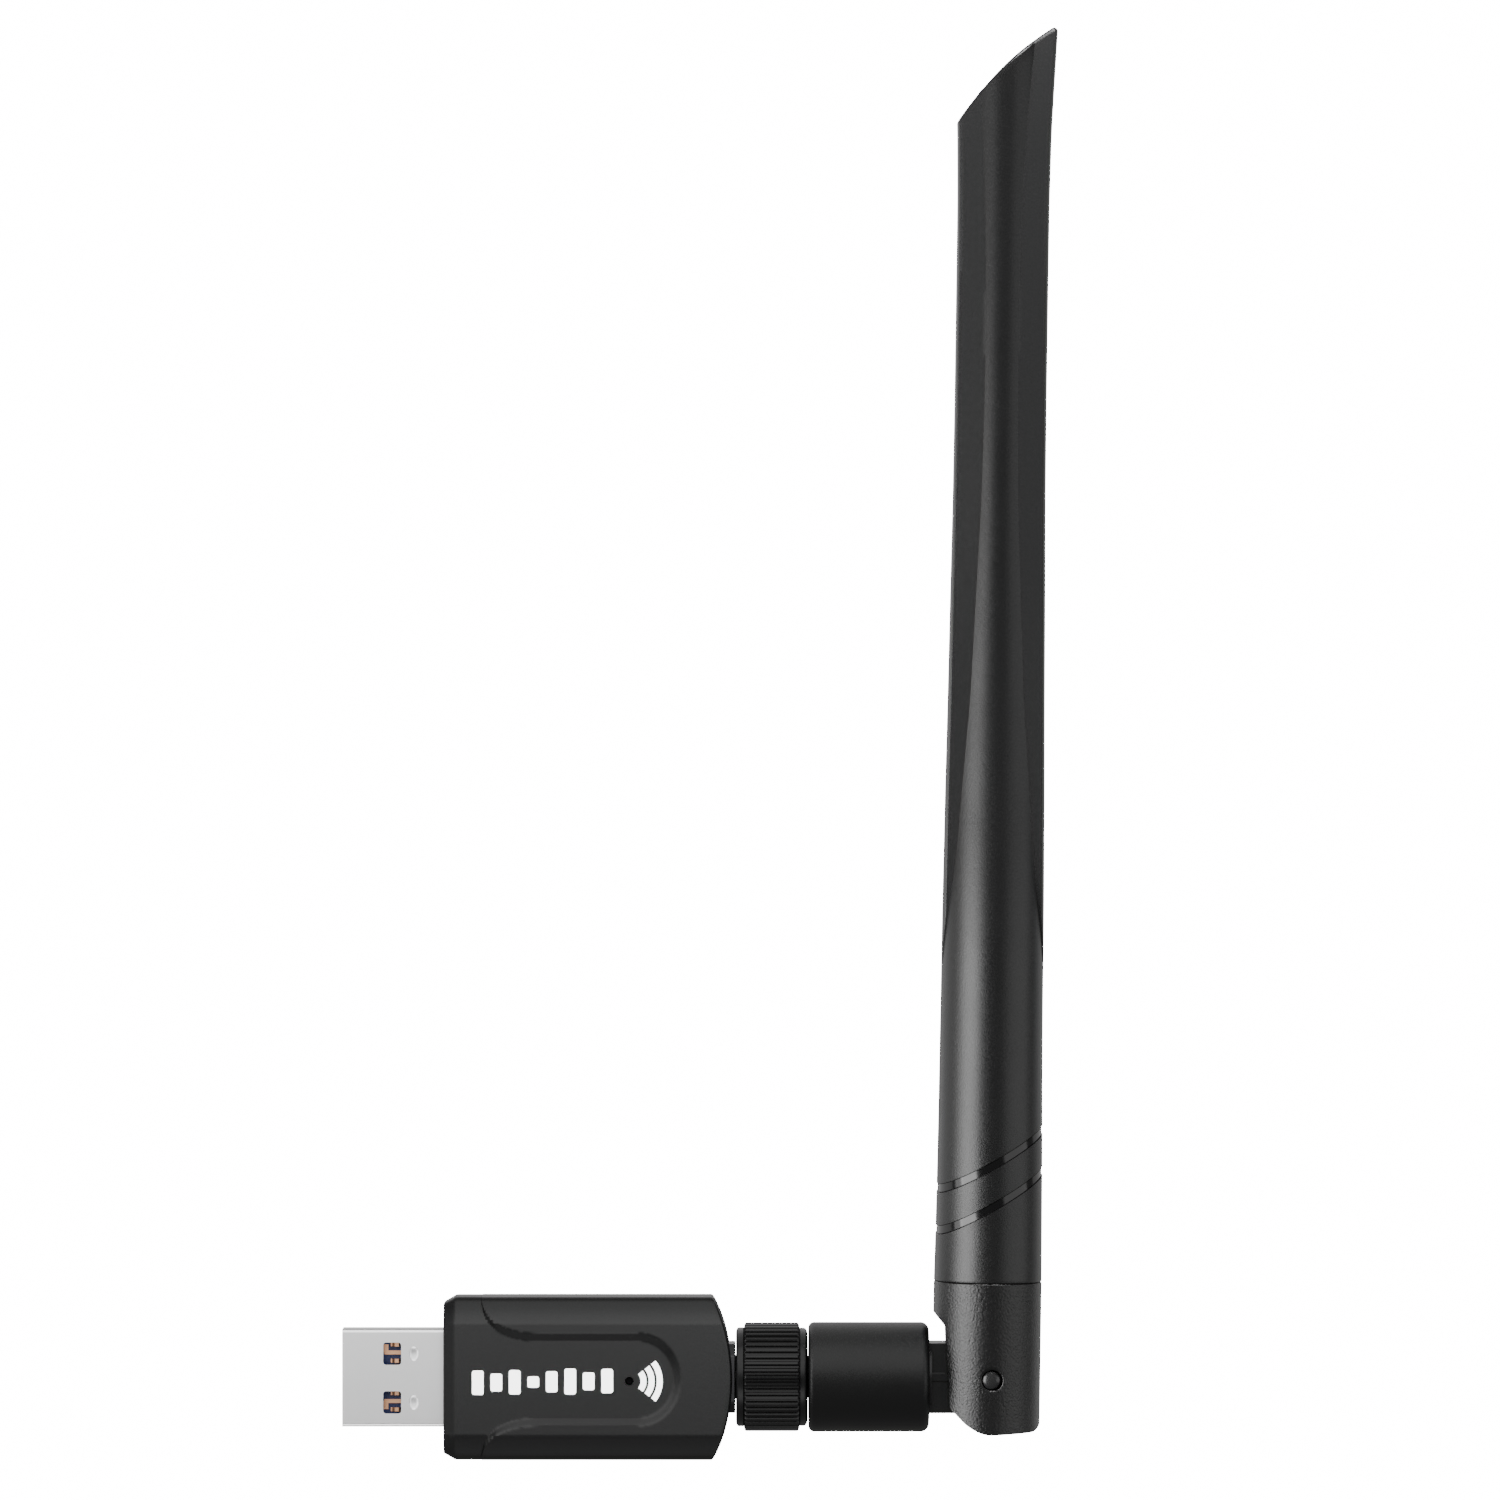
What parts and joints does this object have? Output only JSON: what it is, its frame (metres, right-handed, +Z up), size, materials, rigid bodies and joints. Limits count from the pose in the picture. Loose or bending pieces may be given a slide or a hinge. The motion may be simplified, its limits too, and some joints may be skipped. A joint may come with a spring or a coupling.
{
  "type": "usb wifi adapter",
  "caption": "USB wireless network adapter: a black dongle with a USB-A plug and a screw-on antenna that swivels and tilts on a knuckle",
  "frame": {"origin": "the middle of the USB plug where it leaves the housing (mount usb_plug)", "axes": "-X is the way the plug points, +Z is up along the antenna's length, and +Y is through the thickness, away from the printed front"},
  "size_m": [0.0882, 0.0136, 0.1765],
  "materials": {
    "housing_black": "fine satin moulded ABS",
    "plug_steel": "satin nickel-plated steel",
    "usb_blue": "blue moulded insulator",
    "contact_gold": "gold-plated spring contact",
    "board_green": "solder mask over glass-epoxy board",
    "chip_black": "moulded chip package",
    "tinned_metal": "tinned sheet or solder",
    "led_clear": "clear light pipe",
    "jack_nickel": "dark nickel plating",
    "insulator_white": "white insulator or ceramic",
    "nut_black": "black ribbed nut, slight sheen",
    "brass": "machined brass",
    "spring_steel": "spring steel wire",
    "sleeve_black": "fine matt texture",
    "knuckle_black": "smooth moulded plastic",
    "antenna_black": "matt thermoplastic elastomer with a fine grain",
    "coax_grey": "cable jacket",
    "copper": "copper foil"
  },
  "bodies": {
    "dongle": {"housing_front_cover": "housing_black", "housing_back_cover": "housing_black", "usb_shell": "plug_steel", "usb_insulator": "usb_blue", "usb_contact_power": "contact_gold", "usb_contact_data_minus": "contact_gold", "usb_contact_data_plus": "contact_gold", "usb_contact_ground": "contact_gold", "usb_spring_contact_1": "contact_gold", "usb_spring_contact_2": "contact_gold", "usb_spring_contact_3": "contact_gold", "usb_spring_contact_4": "contact_gold", "usb_spring_contact_5": "contact_gold", "main_board": "board_green", "shield_can": "tinned_metal", "radio_chip": "chip_black", "power_regulator": "chip_black", "power_inductor": "chip_black", "crystal": "tinned_metal", "capacitor_1": "insulator_white", "capacitor_2": "insulator_white", "capacitor_3": "insulator_white", "status_led": "led_clear", "light_pipe": "led_clear", "jack_body": "jack_nickel", "jack_insulator": "insulator_white", "jack_pin": "contact_gold"},
    "coupling_nut": {"nut_grip": "nut_black", "nut_thread_insert": "brass", "snap_ring": "spring_steel"},
    "antenna_plug": {"plug_shell": "jack_nickel", "plug_dielectric": "insulator_white", "plug_contact": "contact_gold", "crimp_ferrule": "brass"},
    "swivel": {"swivel_barrel": "sleeve_black", "knuckle": "knuckle_black", "pivot_pin_front": "knuckle_black", "pivot_pin_back": "knuckle_black", "coax_lower": "coax_grey", "coax_bend": "coax_grey"},
    "antenna": {"antenna_base": "antenna_black", "antenna_cover": "antenna_black", "coax_upper": "coax_grey", "antenna_board": "board_green", "feed_solder": "tinned_metal", "radiator_lower": "copper", "phasing_line": "copper", "radiator_upper": "copper"}
  },
  "joints": [
    {"name": "antenna_unscrew", "type": "slide", "parent": "dongle", "child": "antenna_plug", "axis": [1, 0, 0], "range_m": [0, 0.00705]},
    {"name": "nut_turn", "type": "hinge", "parent": "antenna_plug", "child": "coupling_nut", "pos_m": [0.04, 0, 0], "axis": [1, 0, 0], "range_deg": [0, 3600]},
    {"name": "antenna_swivel", "type": "hinge", "parent": "antenna_plug", "child": "swivel", "pos_m": [0.05, 0, 0], "axis": [1, 0, 0], "range_deg": [-180, 180]},
    {"name": "antenna_tilt", "type": "hinge", "parent": "swivel", "child": "antenna", "pos_m": [0.06728, 0, 0], "axis": [0, 1, 0], "range_deg": [-0.84, 89.16]}
  ],
  "couplings": [
    {"joint": "nut_turn", "follows": "antenna_unscrew", "rad_per_m": 8905.2}
  ]
}
